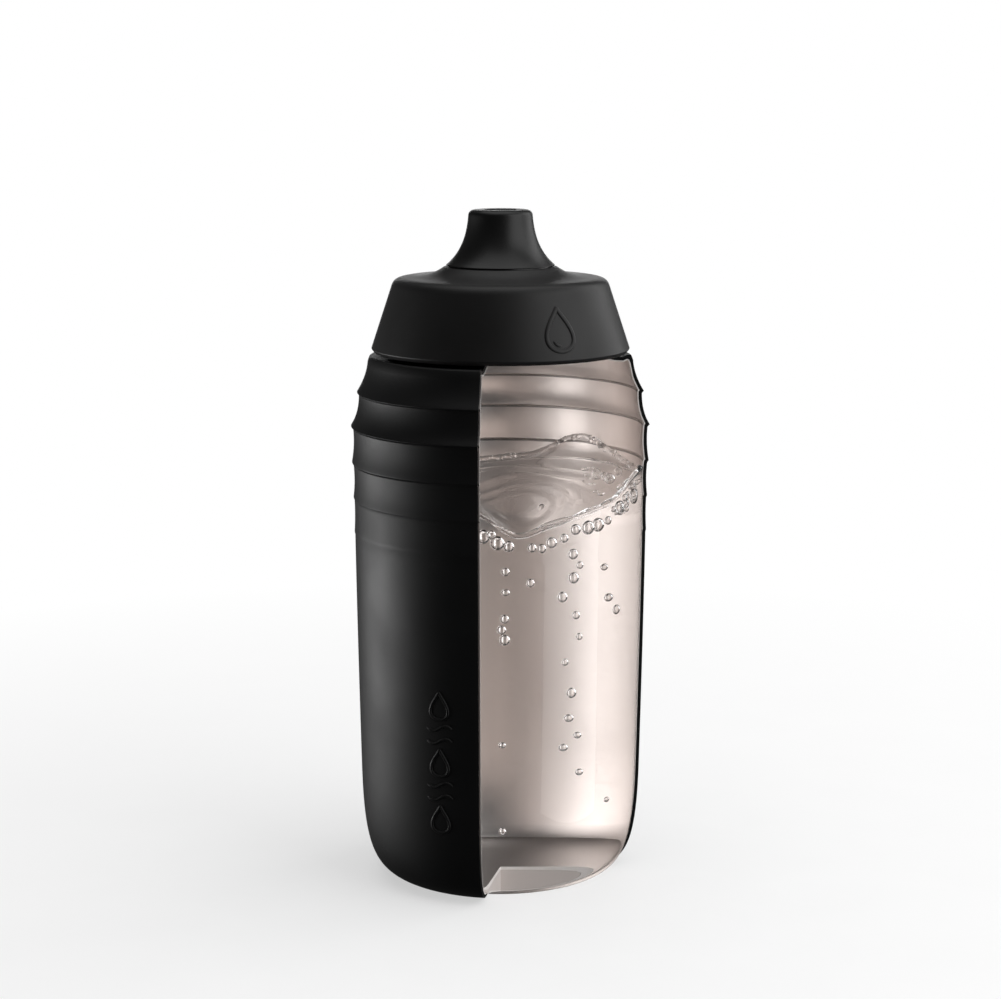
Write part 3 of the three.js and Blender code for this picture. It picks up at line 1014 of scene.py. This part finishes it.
def nozzle_core():
    outline = [
        (5.35, 150.6), (6.9, 150.6), (6.9, 152.2), (11.2, 152.2), (11.2, 150.9), (12.3, 150.9),
        (12.3, 153.75), (7.4, 153.8), (6.9, 154.4), (6.9, 162.4), (5.6, 164), (3.45, 164),
        (3.45, 162.4), (5.75, 160.9), (5.75, 153.7), (5.35, 153.4), (5.35, 152.2),
        (6.1, 152.2), (6.1, 151.2), (5.35, 151.2),
    ]
    return Solid().revolve(soften(outline, 0.18, True), SMALL).build("nozzle_sleeve", HARD_PLASTIC)


def nozzle_grip():
    side = bend((13.4, 153.85), (10, 156.6), (8.3, 160.6), (7.9, 165.9), 24)
    lip = bend((7.9, 165.9), (7.85, 166.7), (7.4, 167.15), (6.5, NOZZLE_TOP), 8)[1:]
    outline = [
        (7.9, 153.85), *side, *lip, (4.1, NOZZLE_TOP), (3.65, NOZZLE_TOP - 0.4), (3.65, 164.25),
        (5.8, 164.25), (7.2, 162.5), (7.2, 154.6),
    ]
    return Solid().revolve(soften(outline, 0.15, True)).build("mouthpiece", MOUTHPIECE)


def nozzle_o_ring():
    section = []
    for step in range(20):
        turn = 2 * math.pi * step / 20
        section.append((5.68 + 0.35 * math.cos(turn), 151.7 + 0.35 * math.sin(turn)))
    return Solid().revolve(section, SMALL).build("nozzle_ring_seal", SILICONE, 60.0)


# ---- Assembly ----


def place(piece, body, slot, *nodes):
    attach(piece, body)
    if nodes:
        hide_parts(*nodes)


place(bottle_shell(), "bottle", "soft_body", "bottle_shell")
place(titanium_liner(), "bottle", "titanium", "titanium_liner")
place(liner_floor(), "bottle", "titanium", "liner_floor")
place(floor_pad(), "bottle", "pale_rubber", "floor_pad")
place(body_relief(), "bottle", "soft_body")
place(water_body(), "bottle", None)
place(wall_drops(), "bottle", None)
place(cap_cover(), "cap", "soft_touch", "cap_cover")
place(cap_badge(), "cap", "soft_touch")
place(cap_core(), "cap", "hard_plastic", "cap_core")
place(valve_stem(), "cap", "hard_plastic", "valve_stem")
place(flat_ring("stem_washer", 5.6, 9.3, 147.65, 148.15, SILICONE), "cap", "silicone", "stem_seal")
place(flat_ring("neck_gasket", 21.3, 24.3, 147.2, 148.1, SILICONE), "cap_seal", "silicone", "cap_gasket")
place(nozzle_o_ring(), "nozzle_seal", "silicone", "nozzle_o_ring")
place(nozzle_core(), "nozzle", "hard_plastic", "nozzle_core")
place(nozzle_grip(), "nozzle", "mouthpiece", "nozzle_grip")

# ---- Studio ----


def studio_floor():
    """A plain pale floor, as a large disc."""
    floor = Solid()
    reach, sides, below_foot = 6000.0, 96, 0.05
    for side in range(sides):
        turn = 2 * math.pi * side / sides
        floor.points.append((reach * math.cos(turn), reach * math.sin(turn), -below_foot))
    floor.faces.append(list(range(sides)))
    disc = floor.build("studio_floor", floor_look())
    disc.visible_glossy = False
    disc.visible_shadow = False
    disc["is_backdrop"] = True


# lamps: name, place and aim in metres, width, height, power in watts
SOFTBOXES = (
    ("left_box", (-0.58, 0.135, -0.05), (0, 0, 0.06), 0.45, 0.14, 2.0),
    ("low_right_box", (0.69, -0.40, -0.165), (0, 0, 0.06), 0.75, 0.27, 1.75),
    ("right_box", (0.61, -0.35, 0.36), (0, 0, 0.12), 0.74, 0.70, 4.2),
    ("right_rear_box", (0.62, 0.32, 0.36), (0, 0, 0.12), 0.50, 0.70, 2.4),
    ("top_box", (0.0, 0.0, 2.6), (0, 0, 0), 3.0, 3.0, 48.0),
    ("back_box", (0.0, 1.0, 0.20), (0, 0, 0.15), 0.5, 0.35, 1.5),
)
LINING_FILL = ("lining_fill", (0.20, -0.80, -0.20), (0, 0, 0.06), 0.55, 0.30, 0.29)
WARM = (1.0, 0.82, 0.73)
FILLED_PIECES = ("metal_lining", "floor_plate", "foot_pad", "water", "water_drops")


def softbox(name, place_m, target_m, width, height, power, color=(1, 1, 1)):
    light = bpy.data.lights.new(name, "AREA")
    light.shape = "RECTANGLE"
    light.size, light.size_y = width, height
    light.energy = power
    light.color = color
    lamp = bpy.data.objects.new(name, light)
    lamp.location = place_m
    lamp.rotation_euler = (Vector(target_m) - Vector(place_m)).to_track_quat("-Z", "Y").to_euler()
    lamp.visible_camera = False
    lamp.visible_transmission = False
    bpy.context.scene.collection.objects.link(lamp)
    return lamp


def studio_air():
    """The air is white to the eye, and dim as a light, so that dark surfaces stay dark."""
    world = bpy.data.worlds.new("studio_air")
    world.use_nodes = True
    nodes, links = world.node_tree.nodes, world.node_tree.links
    strength = nodes.new("ShaderNodeMapRange")
    strength.inputs["To Min"].default_value = 0.05
    strength.inputs["To Max"].default_value = 1.0
    links.new(seen_directly(nodes, links), strength.inputs["Value"])
    links.new(strength.outputs["Result"], nodes["Background"].inputs["Strength"])
    nodes["Background"].inputs["Color"].default_value = (1, 1, 1, 1)
    bpy.context.scene.world = world


def studio():
    studio_floor()
    studio_air()
    for box in SOFTBOXES:
        softbox(*box)
    fill = softbox(*LINING_FILL, WARM)
    lit = bpy.data.collections.new("lit_by_lining_fill")
    for name in FILLED_PIECES:
        lit.objects.link(bpy.data.objects[name])
    fill.light_linking.receiver_collection = lit
    bpy.context.scene.view_settings.view_transform = "Standard"


def camera():
    lens = bpy.data.cameras.new("studio_camera")
    lens.sensor_width = 36
    lens.lens = 84.26
    lens.clip_start = 0.05
    view = bpy.data.objects.new("studio_camera", lens)
    view.location = (0, -0.5755, 0.1984)
    view.rotation_euler = (math.radians(90 - 10.15), 0, 0)
    bpy.context.scene.collection.objects.link(view)
    bpy.context.scene.camera = view


studio()
camera()

boxes = {"cad": cad_bounds, "visual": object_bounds()}
{name: [list(corner) for corner in box] for name, box in boxes.items()}
